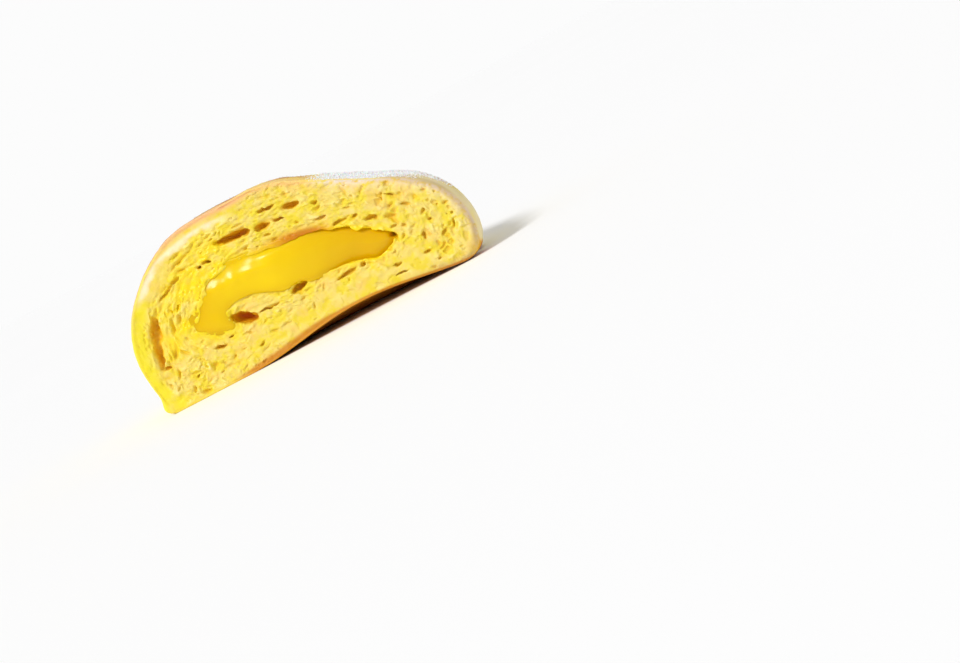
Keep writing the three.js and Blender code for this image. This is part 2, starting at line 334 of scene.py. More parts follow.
def form_field(x, y, z):
    """Distance from the half's form without bands, less than nothing inside, and the angle round it."""
    along = np.maximum(y, 0) / HALF_LENGTH
    size = taper(y)
    across = x - TIP_BEND * along**2
    up = z - mix(TIP_HEIGHT, CENTRE_HEIGHT, size)
    angle = np.arctan2(up, across)
    form = mix(face_radius(angle), round_radius(angle), ramp(*FACE_FORM_Y, y))
    share = np.maximum(np.hypot(across, up) / form, 0.05)
    power = 1 / TAPER_ROOT
    value = share**power + along**TAPER_POWER - 1
    outward = power * share ** (power - 1) / form
    lengthwise = TAPER_POWER * along ** (TAPER_POWER - 1) / HALF_LENGTH
    return value / np.hypot(outward, lengthwise), angle


def band_start(band, angle):
    if band == len(BANDS):
        return HALF_LENGTH + BEYOND_TIP
    b = BANDS[band]
    return b.start + b.slant * np.cos(angle) + b.wave * np.sin(3 * angle + 2 * band)


def band_lift(band, share, y):
    """Height of a band's skin over its length: out of the groove, over the arch and down to the lip."""
    fall = LIP_FALL * np.clip(share, 0, 1.1) ** LIP_POWER
    if band == 0:
        return CUT_RISE * (1 - fading(y, CUT_RISE_REACH)) - fall
    rise = 1 - GROOVE_DEPTH * np.exp(-np.clip(share, -0.3, 1) / GROOVE_SHARE)
    return rise if band == len(BANDS) - 1 else rise - fall


def skin_field(x, y, z, bands=range(len(BANDS))):
    """Distance from the skin of some bands, with lips, slits and creases, and from the form below them."""
    form, angle = form_field(x, y, z)
    toe = bell(z, TOE_HEIGHT, TOE_THICKNESS) * ramp(*TOE_X, x) * bell(y, 0, TOE_REACH)
    lumps = bumps(x, y, z, SKIN_BUMPS) + bumps(x, y, z, BACK_BUMPS) * ramp(*BACK_Y, y)
    form = form - lumps - TOE_OUT * toe
    fade = np.minimum(1, taper(y) / RELIEF_FADES_UNDER)
    skin = None
    for band in bands:
        start, end = band_start(band, angle), band_start(band + 1, angle)
        share = (y - start) / (end - start)
        top = form - (band_lift(band, share, y) - BANDS[band].drop) * fade
        body = smooth_max(top, y - end, LIP_ROUNDING)
        skin = body if skin is None else np.minimum(skin, body)
    for band, b in enumerate(BANDS[1:], 1):
        level = form + (b.drop + SLIT_LEVEL) * fade
        gaping = SLIT_WIDTH_LEFT + (1 - SLIT_WIDTH_LEFT) * bell(angle, b.at, SLIT_SPREAD)
        deep = b.deep * mix(SLIT_DEPTH_LEFT, 1, gaping)
        width = np.maximum(b.gape * gaping, SLIT_NARROWEST) * np.clip(1 + level / deep, 0, SLIT_FLARE) * fade
        across = np.abs(y - band_start(band, angle) - SLIT_SET_BACK - SLIT_LEAN * level)
        across = across / math.hypot(1, SLIT_LEAN)
        skin = smooth_max(skin, np.minimum(width / 2 - across, level + deep), SLIT_ROUNDING)
    wander = bumps(x, z, y, CREASE_WANDER)
    for place, slant, deep, middle, spread in CREASES:
        strength = bell(angle, middle, spread)
        across = np.abs(y - place - slant * np.cos(angle) - wander)
        crease = np.minimum(CREASE_WIDTH * strength - across, skin + deep * strength)
        skin = smooth_max(skin, crease, CREASE_ROUNDING)
    return skin, form


def outline_points(outline, count):
    """Evenly spread points on a closed centripetal Catmull-Rom curve, as in the solids."""
    def tangent(a, b, c, before, after, width):
        return ((b - a) / before - (c - a) / (before + after) + (c - b) / after) * width

    knots = np.array(outline, float)
    points = []
    for i in range(len(knots)):
        p = [knots[(i + step) % len(knots)] for step in (-1, 0, 1, 2)]
        gaps = [max(np.linalg.norm(p[j + 1] - p[j]) ** 0.5, 1e-4) for j in range(3)]
        start = tangent(*p[:3], *gaps[:2], gaps[1])
        stop = tangent(*p[1:], *gaps[1:], gaps[1])
        for t in np.linspace(0, 1, 12, endpoint=False):
            points.append(
                p[1] * (2 * t**3 - 3 * t**2 + 1) + start * (t**3 - 2 * t**2 + t)
                + p[2] * (3 * t**2 - 2 * t**3) + stop * (t**3 - t**2)
            )
    points = np.array(points)
    steps = np.linalg.norm(np.roll(points, -1, 0) - points, axis=1)
    along = np.concatenate([[0], np.cumsum(steps)])
    closed = np.vstack([points, points[:1]])
    places = np.linspace(0, along[-1], count, endpoint=False)
    return np.stack([np.interp(places, along, closed[:, i]) for i in (0, 1)], 1)


def outline_distance(x, z):
    """Distance from the custard's outline round its own middle, less than nothing inside it."""
    outline = outline_points(CUSTARD_OUTLINE, 160)
    nearest = np.full(x.shape, np.inf, np.float32)
    inside = np.zeros(x.shape, bool)
    for (ax, az), (bx, bz) in zip(outline, np.roll(outline, -1, 0)):
        ex, ez = bx - ax, bz - az
        t = np.clip(((x - ax) * ex + (z - az) * ez) / (ex * ex + ez * ez), 0, 1)
        nearest = np.minimum(nearest, np.hypot(x - ax - t * ex, z - az - t * ez))
        crosses = (az > z) != (bz > z)
        inside ^= crosses & (x < ax + (z - az) / (bz - az + 1e-9) * ex)
    return np.where(inside, -nearest, nearest)


class Map:
    """A field of the cut face's plane, kept on an even grid and read between its points."""

    def __init__(self, step, low, high, make):
        self.step, self.low = step, low
        xs, zs = (np.arange(low[i], high[i], step, dtype=np.float32) for i in (0, 1))
        self.values = make(*np.meshgrid(xs, zs, indexing="ij")).astype(np.float32)

    def __call__(self, x, z):
        places = [(x - self.low[0]) / self.step, (z - self.low[1]) / self.step]
        places = [np.clip(p, 0, n - 1.001) for p, n in zip(places, self.values.shape)]
        i, k = (p.astype(np.int32) for p in places)
        s, t = places[0] - i, places[1] - k
        v = self.values
        return mix(mix(v[i, k], v[i + 1, k], s), mix(v[i, k + 1], v[i + 1, k + 1], s), t)


outline_map = Map(0.2, (-46, -16), (46, 26), outline_distance)


def beyond_outline(x, z):
    """Distance from the custard's outline on the cut face, less than nothing inside it."""
    return outline_map(x, z - CUSTARD_MIDDLE)


def custard_walls(x, y, z):
    """Distance from the custard's sides at any depth, less than nothing in it."""
    along = np.clip(y, 0, CUSTARD_LENGTH)
    size = mix(1, CUSTARD_END_SHARE, (along / CUSTARD_LENGTH) ** CUSTARD_NARROWING)
    middle_x = TIP_BEND * (along / HALF_LENGTH) ** 2
    sinking = (size - CUSTARD_END_SHARE) / (1 - CUSTARD_END_SHARE)
    middle_z = mix(CUSTARD_END_HEIGHT, CUSTARD_MIDDLE, sinking)
    return outline_map((x - middle_x) / size, (z - middle_z) / size) * size


def pocket_field(x, y, z):
    """Distance from the custard's pocket, whose walls are uneven crumb near the cut."""
    uneven = POCKET_TIGHTER + bumps(x, y, z, POCKET_BUMPS)
    field = custard_walls(x, y, z) + uneven * fading(y, POCKET_UNEVEN_REACH)
    if y.min() < FACE_ZONE:
        front = bell(np.maximum(y, 0), 0, OVERHANG_REACH)
        for overhang in OVERHANGS:
            field = field + OVERHANG_DEPTH * front * spot(x, z, *overhang)
    return np.maximum(field, y - CUSTARD_LENGTH - POCKET_LONGER)


def cut_band_field(x, y, z):
    """The band that is cut, without its pores: skin, flat base, cut face and pocket."""
    skin, _ = skin_field(x, y, z, [0])
    angle = face_angle(x, z)
    right = ramp(*RIGHT_ENDS, angle) * ramp(*RIGHT_BEGINS, angle)
    top = ramp(*TOP_BEGINS, angle) * ramp(*TOP_ENDS, angle)
    ragged = bumps(x, y, z, RIM_FINE) * mix(RIM_FINE_LEAST, 1, top) * fading(y, RIM_FINE_REACH)
    ragged = ragged + bumps(x, y, z, RIM_COARSE) * top * fading(y, RIM_COARSE_REACH)
    skin = skin + RIM_DRAWN_IN * right * fading(y, RIM_DRAWN_REACH) + ragged
    sharper, rounder = BASE_SHARPER * ramp(*BASE_SHARPER_X, x), BASE_ROUNDER * ramp(*BASE_ROUNDER_X, x)
    field = smooth_max(skin, base_height(x, y) - z, BASE_ROUNDING - sharper + rounder)
    if y.min() < FACE_ZONE:
        field = smooth_max(field, relief_map(x, z) - y, mix(RIM_ROUNDING, RIM_ROUNDING_RIGHT, right))
    return smooth_max(field, -pocket_field(x, y, z), POCKET_ROUNDING)


def rolled_bands_field(x, y, z):
    """The bands behind the cut one, with a flat base and the rest of the pocket."""
    skin, _ = skin_field(x, y, z, range(1, len(BANDS)))
    field = smooth_max(np.maximum(skin, REAR_FRONT - y), base_height(x, y) - z, BASE_ROUNDING)
    if y.min() > REAR_POCKET_ENDS:
        return field
    return smooth_max(field, -pocket_field(x, y, z), REAR_POCKET_ROUNDING)


def sample(field, xs, ys, zs, rows=8):
    """The field's values on a grid, a few rows at a time."""
    values = np.empty((len(xs), len(ys), len(zs)), np.float32)
    for first in range(0, len(ys), rows):
        part = slice(first, first + rows)
        values[:, part] = field(*np.meshgrid(xs, ys[part], zs, indexing="ij"))
    return values


def surface_net(values, lines):
    """Vertices and quads of the zero level of a sampled field, one vertex in each cell that it crosses."""
    inside = values < 0
    nx, ny, nz = (n - 1 for n in values.shape)
    count = sum(inside[i:i + nx, j:j + ny, k:k + nz].astype(np.int8) for i, j, k in CORNERS)
    cells = np.argwhere((count > 0) & (count < 8))
    number = np.full((nx, ny, nz), -1, np.int32)
    number[tuple(cells.T)] = np.arange(len(cells))
    at = [values[tuple((cells + corner).T)] for corner in CORNERS]
    total = np.zeros((len(cells), 3), np.float32)
    crossings = np.zeros(len(cells), np.float32)
    for a, corner in enumerate(CORNERS):
        for axis in range(3):
            b = a | 1 << axis
            if a == b:
                continue
            crosses = (at[a] < 0) != (at[b] < 0)
            share = np.where(crosses, at[a] / np.where(crosses, at[a] - at[b], 1), 0)
            place = np.repeat(np.array([corner], np.float32), len(cells), 0)
            place[:, axis] += share
            total += place * crosses[:, None]
            crossings += crosses
    place = total / crossings[:, None]
    vertices = np.stack([
        line[cell] + share * (line[cell + 1] - line[cell])
        for line, cell, share in zip(lines, cells.T, place.T)
    ], 1)
    quads = []
    for axis in range(3):
        u, v = (axis + 1) % 3, (axis + 2) % 3
        near = inside.take(range(0, values.shape[axis] - 1), axis)
        far = inside.take(range(1, values.shape[axis]), axis)
        edges = np.argwhere(near != far)
        for side in (u, v):
            edges = edges[(edges[:, side] > 0) & (edges[:, side] < values.shape[side] - 1)]
        around = []
        for du, dv in ((0, 0), (-1, 0), (-1, -1), (0, -1)):
            cell = edges.copy()
            cell[:, u] += du
            cell[:, v] += dv
            around.append(number[tuple(cell.T)])
        quad = np.stack(around, 1)
        outward = near[tuple(edges.T)]
        quads.append(np.where(outward[:, None], quad, quad[:, ::-1]))
    return vertices, np.concatenate(quads)


def largest_part(vertices, quads):
    """Drops the closed bubbles and loose scraps, and keeps the one surface that is left."""
    label = np.arange(len(vertices))
    edges = np.concatenate([quads[:, [0, 1]], quads[:, [1, 2]], quads[:, [2, 3]]])
    while True:
        ends = label[edges]
        low, high = ends.min(1), ends.max(1)
        open_edges = low != high
        if not open_edges.any():
            break
        np.minimum.at(label, high[open_edges], low[open_edges])
        while True:
            shorter = label[label]
            if np.array_equal(shorter, label):
                break
            label = shorter
        edges = edges[open_edges]
    sizes = np.bincount(label[quads[:, 0]])
    kept = quads[label[quads[:, 0]] == sizes.argmax()]
    used, index = np.unique(kept, return_inverse=True)
    return vertices[used], index.reshape(-1, 4)


def surface_of(values, *lines):
    return largest_part(*surface_net(values, lines))


def add_object(name, data):
    added = bpy.data.objects.new(name, data)
    bpy.context.scene.collection.objects.link(added)
    return added


def mesh_object(name, points, faces):
    """A mesh from millimetre points, placed in the frame. Its faces all have the same number of sides."""
    mesh = bpy.data.meshes.new(name)
    mesh.vertices.add(len(points))
    mesh.vertices.foreach_set("co", (points * MM + ORIGIN).astype(np.float32).ravel())
    mesh.loops.add(faces.size)
    mesh.loops.foreach_set("vertex_index", faces.astype(np.int32).ravel())
    mesh.polygons.add(len(faces))
    mesh.polygons.foreach_set("loop_start", np.arange(0, faces.size, faces.shape[1], dtype=np.int32))
    mesh.update(calc_edges=True)
    mesh.validate()
    mesh.shade_smooth()
    return add_object(name, mesh)


def thin_out(piece, triangles):
    """Joins the flattest faces until about that many triangles are left."""
    now = sum(len(p.vertices) - 2 for p in piece.data.polygons)
    if now <= triangles:
        return
    modifier = piece.modifiers.new("thin", "DECIMATE")
    modifier.ratio = triangles / now
    graph = bpy.context.evaluated_depsgraph_get()
    mesh = bpy.data.meshes.new_from_object(piece.evaluated_get(graph), depsgraph=graph)
    piece.modifiers.clear()
    piece.data = mesh
    mesh.shade_smooth()


def read(items, name, kind, width=1):
    """A property of all the items as one array."""
    values = np.empty(len(items) * width, kind)
    items.foreach_get(name, values)
    return values.reshape(-1, width) if width > 1 else values


def points_of(piece):
    return (read(piece.data.vertices, "co", np.float32, 3) - ORIGIN) / MM


def set_attribute(piece, name, values):
    attribute = piece.data.attributes.new(name, "FLOAT", "POINT")
    attribute.data.foreach_set("value", np.clip(values, 0, 1).astype(np.float32))


def grid_line(low, high, step):
    return np.linspace(low, high, round((high - low) / step) + 1, dtype=np.float32)


def section_lines(step):
    """Grid lines across the section and up it."""
    across = grid_line(-SECTION_HALF_WIDTH, SECTION_HALF_WIDTH, step)
    return across, grid_line(-GRID_MARGIN, SECTION_HEIGHT, step)


# Maps of the cut face: how deep a place lies under the skin, and how the layers of the crumb run there
FACE_LOW, FACE_HIGH = (-SECTION_HALF_WIDTH, -GRID_MARGIN), (SECTION_HALF_WIDTH, SECTION_HEIGHT)


def face_depth(x, z):
    form, _ = form_field(x, np.full_like(x, 0.5), z)
    return np.minimum(-form, z - base_height(x, 0))


depth_map = Map(0.5, FACE_LOW, FACE_HIGH, face_depth)


def layer_level(x, z):
    """Rises from 0 at the skin to 1 at the pocket, so that the crumb's layers run along its contours."""
    depth = np.maximum(depth_map(x, z), 0)
    pocket = np.maximum(beyond_outline(x, z), 0)
    return depth / (depth + pocket + 0.5)


level_map = Map(0.5, FACE_LOW, FACE_HIGH, layer_level)


def layer_direction(x, z):
    """Angle of the crumb's layers, along the contours of their level."""
    reach = 1.0
    rise_x = level_map(x + reach, z) - level_map(x - reach, z)
    rise_z = level_map(x, z + reach) - level_map(x, z - reach)
    return np.arctan2(-rise_x, rise_z)


# Dense dough with no open crumb: under the crust, deeper at the upper left and less deep at the top,
# in the flap at the left end, and in the floor under the custard
RIM_DENSE, RIM_OPENS_OVER = 0.6, 1.2
RIM_DENSER_UPPER_LEFT, UPPER_LEFT_ANGLES = 3.4, (1.6, 1.9, 2.9, 3.0)
RIM_LOOSER_TOP, TOP_ANGLES = 0.5, (0.9, 1.1, 1.7, 1.9)
FLAP_X, FLAP_WANDER, FLAP_LEAN, FLAP_LEAN_Z = (-43.4, -40.2), 1.5, 1.5, (9, 3)
FLOOR_X, FLOOR_Z, FLOOR_DENSITY = ((-22, -16), (30, 36)), ((2.6, 3.4), (8.4, 9.6)), 0.85


def openness(x, z):
    """How open the crumb is, from 0 in the dense dough near the crust to 1."""
    angle = face_angle(x, z)
    rim = RIM_DENSE + RIM_DENSER_UPPER_LEFT * span(*UPPER_LEFT_ANGLES, angle)
    rim = rim - RIM_LOOSER_TOP * span(*TOP_ANGLES, angle)
    open_crumb = ramp(rim, rim + RIM_OPENS_OVER, depth_map(x, z))
    wander = FLAP_WANDER * face_noise(x, z, 2, 3, 18)
    flap = ramp(*FLAP_X, x + wander - FLAP_LEAN * ramp(*FLAP_LEAN_Z, z))
    floor = 1
    for (begins, ends), place in ((FLOOR_X, x), (FLOOR_Z, z)):
        floor = floor * ramp(*begins, place) * (1 - ramp(*ends, place))
    return open_crumb * flap * (1 - FLOOR_DENSITY * floor)


def crumb_spots(rng, count):
    """Random places on the crumb with the direction of its layers there."""
    x = rng.uniform(-45, 45, count)
    z = rng.uniform(0.4, 40.5, count)
    kept = (rng.uniform(0, 1, count) < openness(x, z)) & (beyond_outline(x, z) > 0.3)
    x, z = x[kept], z[kept]
    disorder = mix(1, 2.4, np.maximum(ramp(18, 30, x), ramp(13, 8, z)))
    return x, z, layer_direction(x, z) + rng.normal(0, 0.3, len(x)) * disorder


# Relief of the torn crumb: the level that it stands back to, its bending, and the lowest and the rim's levels
RELIEF_LEVEL = 0.45
RELIEF_BENDING = 0.35
RELIEF_LEAST = 0.04
RELIEF_RIM = 0.12
# Fibres of the crumb, long strands first: number, greatest length, thickness, and spread of their height
FIBRES = ((1_800, 4.0, 0.5, 0.16), (14_000, 1.8, 0.2, 0.07))
DIMPLES = 7_500
DIMPLE_THICKNESS = 0.2
PORES = 260
PORE_THICKNESS = 0.27
PORE_APART = 1.15
# Open cells of the crumb: how closely they lie, their size and depth, the random value from which they
# open, and where the wall between two of them turns into their depth
CELL_STEP = 1.7
CELL_SIZE = CELL_STEP * 0.55
CELL_DEPTH = 0.95
CELL_THRESHOLD = 0.42
CELL_WALL = (0.08, 0.85)
# Broken groove where the outer layer of dough is rolled on the next one: depth under the skin, width, depth
GROOVE_UNDER = (6.2, 8.6)
GROOVE_WIDTH = 0.55
GROOVE_RELIEF = 0.7


def layer_groove(x, z):
    """Share of the groove between the outer layer and the next."""
    angle = face_angle(x, z)
    place = mix(*GROOVE_UNDER, ramp(2.75, 2.05, angle)) + 0.5 * face_noise(x, z, 5, 5, 15)
    across = (depth_map(x, z) - place) / GROOVE_WIDTH
    along = ramp(2.1, 2.5, angle) * ramp(-0.1, 0.3, face_noise(x, z, 3, 3, 16))
    return along * np.exp(-across * across)


def reach_of(long, thick, direction):
    """How far a slanting shape reaches to each side and up."""
    c, s = abs(math.cos(direction)), abs(math.sin(direction))
    return long * c + thick * s, long * s + thick * c


def window_of(lines, middle, reaches):
    """The part of a grid within reach of a place."""
    sides = zip(lines, middle, reaches)
    return tuple(slice(*np.searchsorted(line, (at - reach, at + reach))) for line, at, reach in sides)


def ellipses_on(x, z):
    """A function for an ellipse's window in the grid and its field there: 0 in the middle, 1 at the edge."""
    bent = [place + RELIEF_BENDING * face_noise(x, z, 1.3, 1.3, seed) for place, seed in ((x, 13), (z, 14))]

    def ellipse(cx, cz, long, thick, direction):
        reaches = [2 * reach + 0.2 for reach in reach_of(long, thick, direction)]
        window = window_of((x[:, 0], z[0]), (cx, cz), reaches)
        along, across = turned(bent[0][window] - cx, bent[1][window] - cz, direction)
        u, v = along / long, across / thick
        return window, u * u + v * v

    return ellipse


def open_cells(rng, ellipse, shape):
    """Depth of the open cells. Each place belongs to its nearest cell, and walls stay between the cells."""
    x, z = np.meshgrid(np.arange(-45, 45, CELL_STEP), np.arange(0.5, 41, CELL_STEP))
    x, z = (c.ravel() + rng.uniform(-0.6, 0.6, c.size) * CELL_STEP for c in (x, z))
    right = ramp(10, 22, x)
    stretches = mix(rng.uniform(1.6, 3.0, len(x)), rng.uniform(1.2, 2.2, len(x)), right)
    opened = ramp(CELL_THRESHOLD, 0.95, rng.uniform(0, 1, len(x))) * mix(0.22, 0.85, right)
    opened = opened * openness(x, z)
    leans = layer_direction(x, z) + rng.normal(0, 0.25, len(x)) * mix(1, 3, right)
    nearest, second = np.full((2, *shape), 2.0, np.float32)
    amounts = np.zeros(shape, np.float32)
    for cx, cz, stretch, amount, lean in zip(x, z, stretches, opened, leans):
        window, field = ellipse(cx, cz, CELL_SIZE * stretch**0.5, CELL_SIZE / stretch**0.5, lean)
        distance = np.sqrt(field)
        closer = distance < nearest[window]
        second[window] = np.where(closer, nearest[window], np.minimum(second[window], distance))
        nearest[window] = np.where(closer, distance, nearest[window])
        amounts[window] = np.where(closer, amount, amounts[window])
    return CELL_DEPTH * amounts * ramp(*CELL_WALL, second - nearest)


def lay_fibres(rng, ellipse, relief):
    for count, longest, thick, height in FIBRES:
        x, z, directions = crumb_spots(rng, count)
        longs = longest * rng.uniform(0.35, 1, len(x)) * mix(1, 0.5, ramp(20, 30, x))
        rises = rng.normal(0, height, len(x))
        for cx, cz, direction, long, rise in zip(x, z, directions, longs, rises):
            window, field = ellipse(cx, cz, long, thick, direction)
            relief[window] += rise * np.exp(-field)


def press_dimples(rng, ellipse, relief):
    x, z, directions = crumb_spots(rng, DIMPLES)
    right = ramp(16, 28, x)
    thicks = DIMPLE_THICKNESS * np.exp(rng.normal(0, 0.35, len(x)))
    longs = thicks * mix(rng.uniform(1.6, 5.0, len(x)), rng.uniform(1.2, 3.0, len(x)), right)
    depths = thicks * rng.uniform(0.4, 1.6, len(x)) * mix(1, 0.75, right)
    for cx, cz, direction, long, thick, deep in zip(x, z, directions, longs, thicks, depths):
        window, field = ellipse(cx, cz, long, thick, direction)
        relief[window] = np.maximum(relief[window], 0.4 + deep * (1 - field) * 1.3)


def make_relief(x, z):
    """How far the torn crumb stands back from the plane of the cut: cells, fibres, dimples, one groove."""
    rng = np.random.default_rng(7)
    ellipse = ellipses_on(x, z)
    relief = RELIEF_LEVEL + 0.3 * face_noise(x, z, 3.6, 2.2, 11) + 0.14 * face_noise(x, z, 1.3, 0.9, 12)
    relief += open_cells(rng, ellipse, x.shape)
    lay_fibres(rng, ellipse, relief)
    press_dimples(rng, ellipse, relief)
    relief += GROOVE_RELIEF * layer_groove(x, z)
    smooth_rim = ramp(1.95, 2.25, face_angle(x, z))
    rim = ramp(0.1, mix(0.5, 1.3, smooth_rim), depth_map(x, z))
    return mix(RELIEF_RIM, np.maximum(relief, RELIEF_LEAST), rim)


relief_map = Map(0.15, FACE_LOW, FACE_HIGH, make_relief)


def hollows():
    """Every pore, then every slit: middle, half sizes along, inward and across, direction, rounding."""
    rng = np.random.default_rng(5)
    x, z, directions = crumb_spots(rng, PORES)
    right = ramp(16, 28, x)
    thick = PORE_THICKNESS * np.exp(rng.normal(0, 0.25, len(x))) * mix(1, 1.3, right)
    long = thick * mix(rng.uniform(1.5, 3.4, len(x)), rng.uniform(1.0, 1.8, len(x)), right)
    taken = []
    for i in np.argsort(-thick, kind="stable"):
        if beyond_outline(x[i], z[i]) < 0.8:
            continue
        others = ((x[i] - x[j], (z[i] - z[j]) * 1.6, long[i] + long[j]) for j in taken)
        if all(math.hypot(across, up) > PORE_APART * size for across, up, size in others):
            taken.append(i)
    for i in taken:
        yield x[i], 0.35, z[i], long[i], thick[i] * 1.9, thick[i], directions[i], 0.15
    for cx, cz, length, thickness, tilt, inward in SLITS:
        yield cx, 0.0, cz, length / 2, inward, thickness / 2, tilt * DEGREE, 0.3


# Bending of the pores and slits, along x, y and z each with seeds of its own
HOLLOW_BENDING = ((0.4, 1.8, 1.8, 1.4, 21), (0.2, 0.7, 0.7, 0.6, 31))
HOLLOW_MARGIN = 1.0


def carve_hollows(values, xs, ys, zs):
    """Cuts the pores and slits into the sampled field behind the cut face."""
    lines = xs, ys[: int(np.searchsorted(ys, HOLLOW_ZONE))], zs
    x, y, z = np.meshgrid(*lines, indexing="ij")
    bent = []
    for axis, place in enumerate((x, y, z)):
        bent.append(place + bumps(x, y, z, [(*size, seed + axis) for *size, seed in HOLLOW_BENDING]))
    for cx, cy, cz, long, inward, thick, direction, rounding in hollows():
        reach_x, reach_z = reach_of(long, thick, direction)
        reaches = [reach + HOLLOW_MARGIN for reach in (reach_x, inward, reach_z)]
        window = window_of(lines, (cx, cy, cz), reaches)
        bent_x, bent_y, bent_z = (places[window] for places in bent)
        along, across = turned(bent_x - cx, bent_z - cz, direction)
        u, v, w = along / long, across / thick, (bent_y - cy) / inward
        hollow = (np.sqrt(u * u + v * v + w * w) - 1) * thick
        values[window] = smooth_max(values[window], -hollow, rounding)


def make_pastry(name, values, lines, triangles):
    """A piece of the pastry from its sampled field, painted for the material."""
    piece = mesh_object(name, *surface_of(values, *lines))
    thin_out(piece, triangles)
    paint_pastry(piece)
    return piece


def make_cut_band():
    xs, zs = section_lines(FACE_STEP)
    near = grid_line(-GRID_MARGIN, FACE_ZONE, FACE_STEP)
    far = grid_line(FACE_ZONE, CUT_BAND_ENDS, CUT_BAND_STEP)
    lines = xs, np.concatenate([near, far[1:]]), zs
    values = sample(cut_band_field, *lines)
    carve_hollows(values, *lines)
    return make_pastry("pastry_cut_band", values, lines, CUT_BAND_TRIANGLES)


def make_rolled_bands():
    xs, zs = section_lines(BODY_STEP)
    lines = xs, grid_line(REAR_GRID_BEGINS, HALF_LENGTH + GRID_MARGIN, BODY_STEP), zs
    return make_pastry("pastry_rolled_bands", sample(rolled_bands_field, *lines), lines, BODY_TRIANGLES)


# Where looks of the pastry begin, and where they end: depths behind the plane of the cut, angles round the
# section, or places along x or y. With four numbers they come in over two and go over two.
# Painted light and shade on the cut face by depth behind its plane: raised crumb is painted lighter as a
# highlight, and hollow, deep and deepest crumb ever darker as painted shade in the recesses
CUT_DEPTHS = {"ridge_highlight": (0.5, 0.1), "hollow": (0.6, 1.4), "deep": (1.4, 2.8), "deepest_shade": (3.0, 5.2)}
CUT_ENDS_Y = (9, 12)
FACE_ENDS_Y = (1.5, 4)
NEAR_CUT_ENDS_Y = (5, 14)
CRUST_ANGLES, CRUST_STRONG_ANGLES = (0.85, 1.1, 2.35, 2.6), (1.5, 1.8, 2.2, 2.6)
PALE_ANGLES = (-0.4, -0.1, 0.7, 1.1)
SHEEN_ANGLES = (1.8, 2.15, 2.7, 2.85)
FLAP_COLOUR_X, TOE_COLOUR_X = (-34, -38), (-38, -41)
LINE_X = (24, 34)
SUGAR_NEAR_CUT_X = (11, 20, 32, 40)
SHADE_X = (-12, -6, 9, 16)
SKIN_PATCHES = ((1, 9, 5, 9, 61), (0.5, 2.6, 2.2, 2.6, 62))
SHEEN_FRAYING = ((1.2, 2.5, 1, 2.5, 64), (0.6, 1, 1, 1, 65))
SUGAR_DRIFTS = ((0.5, 11, 7, 11, 71), (0.3, 3, 3, 3, 72))


def rim_looks(x, y, z, angle, under):
    """Along the cut face's edge: crust, pale dough, a painted sheen highlight on the dense dough, the yellow
    flap and the painted shadow line behind it.
    """
    on_face = 1 - ramp(*FACE_ENDS_Y, y)
    strong = span(*CRUST_STRONG_ANGLES, angle)
    crust = bell(under, 0.3, mix(0.9, 1.1, strong)) * mix(0.65, 1, strong) * span(*CRUST_ANGLES, angle)
    pale = 0.9 * bell(under, 0, 1.1) + 0.45 * bell(under, 0, 3.0)
    inside = under + mix(-0.9, 0.9, ramp(2.3, 2.6, angle))
    frayed = bumps(x, y, z, SHEEN_FRAYING, inside)
    # painted highlight: a whitish sheen along the upper left edge, as of light on the dense dough
    sheen_highlight = span(*SHEEN_ANGLES, angle) * ramp(1.1, 2.3, inside) * (1 - ramp(2.2, 4.2, frayed))
    flap = (1 - ramp(2.5, 4.5, under)) * ramp(*FLAP_COLOUR_X, x)
    flap = flap * np.maximum(ramp(6, 12, z), ramp(*TOE_COLOUR_X, x)) * (1 - ramp(26, 30, z))
    # painted shadow: a darker line on the skin just behind the right part of the cut's rim
    upper = ramp(14, 22, z)
    line = bell(y, mix(1.1, 2.6, upper), mix(0.7, 2.0, upper)) * (1 - ramp(1.2, 2.2, under))
    line = line * ramp(*LINE_X, x) * ramp(0, 0.4, y)
    pale = pale * span(*PALE_ANGLES, angle) * on_face
    return {"crust": crust * on_face, "pale": pale, "sheen_highlight": sheen_highlight, "flap": flap, "line": line}


def band_place(y, angle):
    """How far along its band a place lies, from 0 at the groove to 1 at the lip."""
    place = 0 * y
    for band in range(len(BANDS)):
        start, end = band_start(band, angle), band_start(band + 1, angle)
        place = np.where((y >= start) & (y < end), (y - start) / (end - start), place)
    return place


def sugar_share(x, y, z, top, middle):
    """How much sugar has stayed, all over the bands and in one drift at the right near the cut."""
    near_cut = 1 - ramp(*NEAR_CUT_ENDS_Y, y)
    over_right = mix(1, span(*SUGAR_NEAR_CUT_X, x), near_cut)
    edge = 0.14 * noise(x / 4, y / 4, z / 4, 73) * (1 - near_cut)
    fallen = ramp(0.08, 1.0, top + edge + 0.35 * near_cut * ramp(10, 20, z))
    drifts = bumps(x, y, z, SUGAR_DRIFTS, 0.6) * mix(0.45, 1, middle)
    return fallen * over_right * mix(drifts, 1, near_cut)


def skin_looks(x, y, z, angle, upward, under):
    """On the skin: browning, paler lips, layers, sugar, and painted shade on the cut band's right side, in
    duller tan.
    """
    place = band_place(y, angle)
    middle = np.sin(math.pi * place)
    top = ramp(-0.1, 0.9, upward) * ramp(5, 29, z + 14 * ramp(25, HALF_LENGTH, y))
    brown = top**0.75 * mix(0.3, 1, ramp(0.15, 0.8, middle)) * (0.72 + 0.34 * bumps(x, y, z, SKIN_PATCHES))
    near_cut = 1 - ramp(*NEAR_CUT_ENDS_Y, y)
    lighter = np.maximum(near_cut * ramp(10, 17, x), ramp(6, 1, y) * ramp(-22, -12, x))
    lip = 1 - ramp(0.02, 0.5 + 0.3 * noise(x / 7, y / 30, z / 7, 63), middle)
    lip = lip * mix(0.2, 1, ramp(5, 20, z + 8 * ramp(30, HALF_LENGTH, y)))
    return {
        "brown": brown * (1 - 0.8 * lighter),
        "lip": lip * (0.75 + 0.5 * noise(x / 12, y / 9, z / 12, 67)),
        "place": place,
        "sugar": sugar_share(x, y, z, top, middle) * (under < 0.4),
        # painted shade on the right side near the cut
        "tan": ramp(28, 38, x) * (1 - ramp(10, 26, y)),
    }


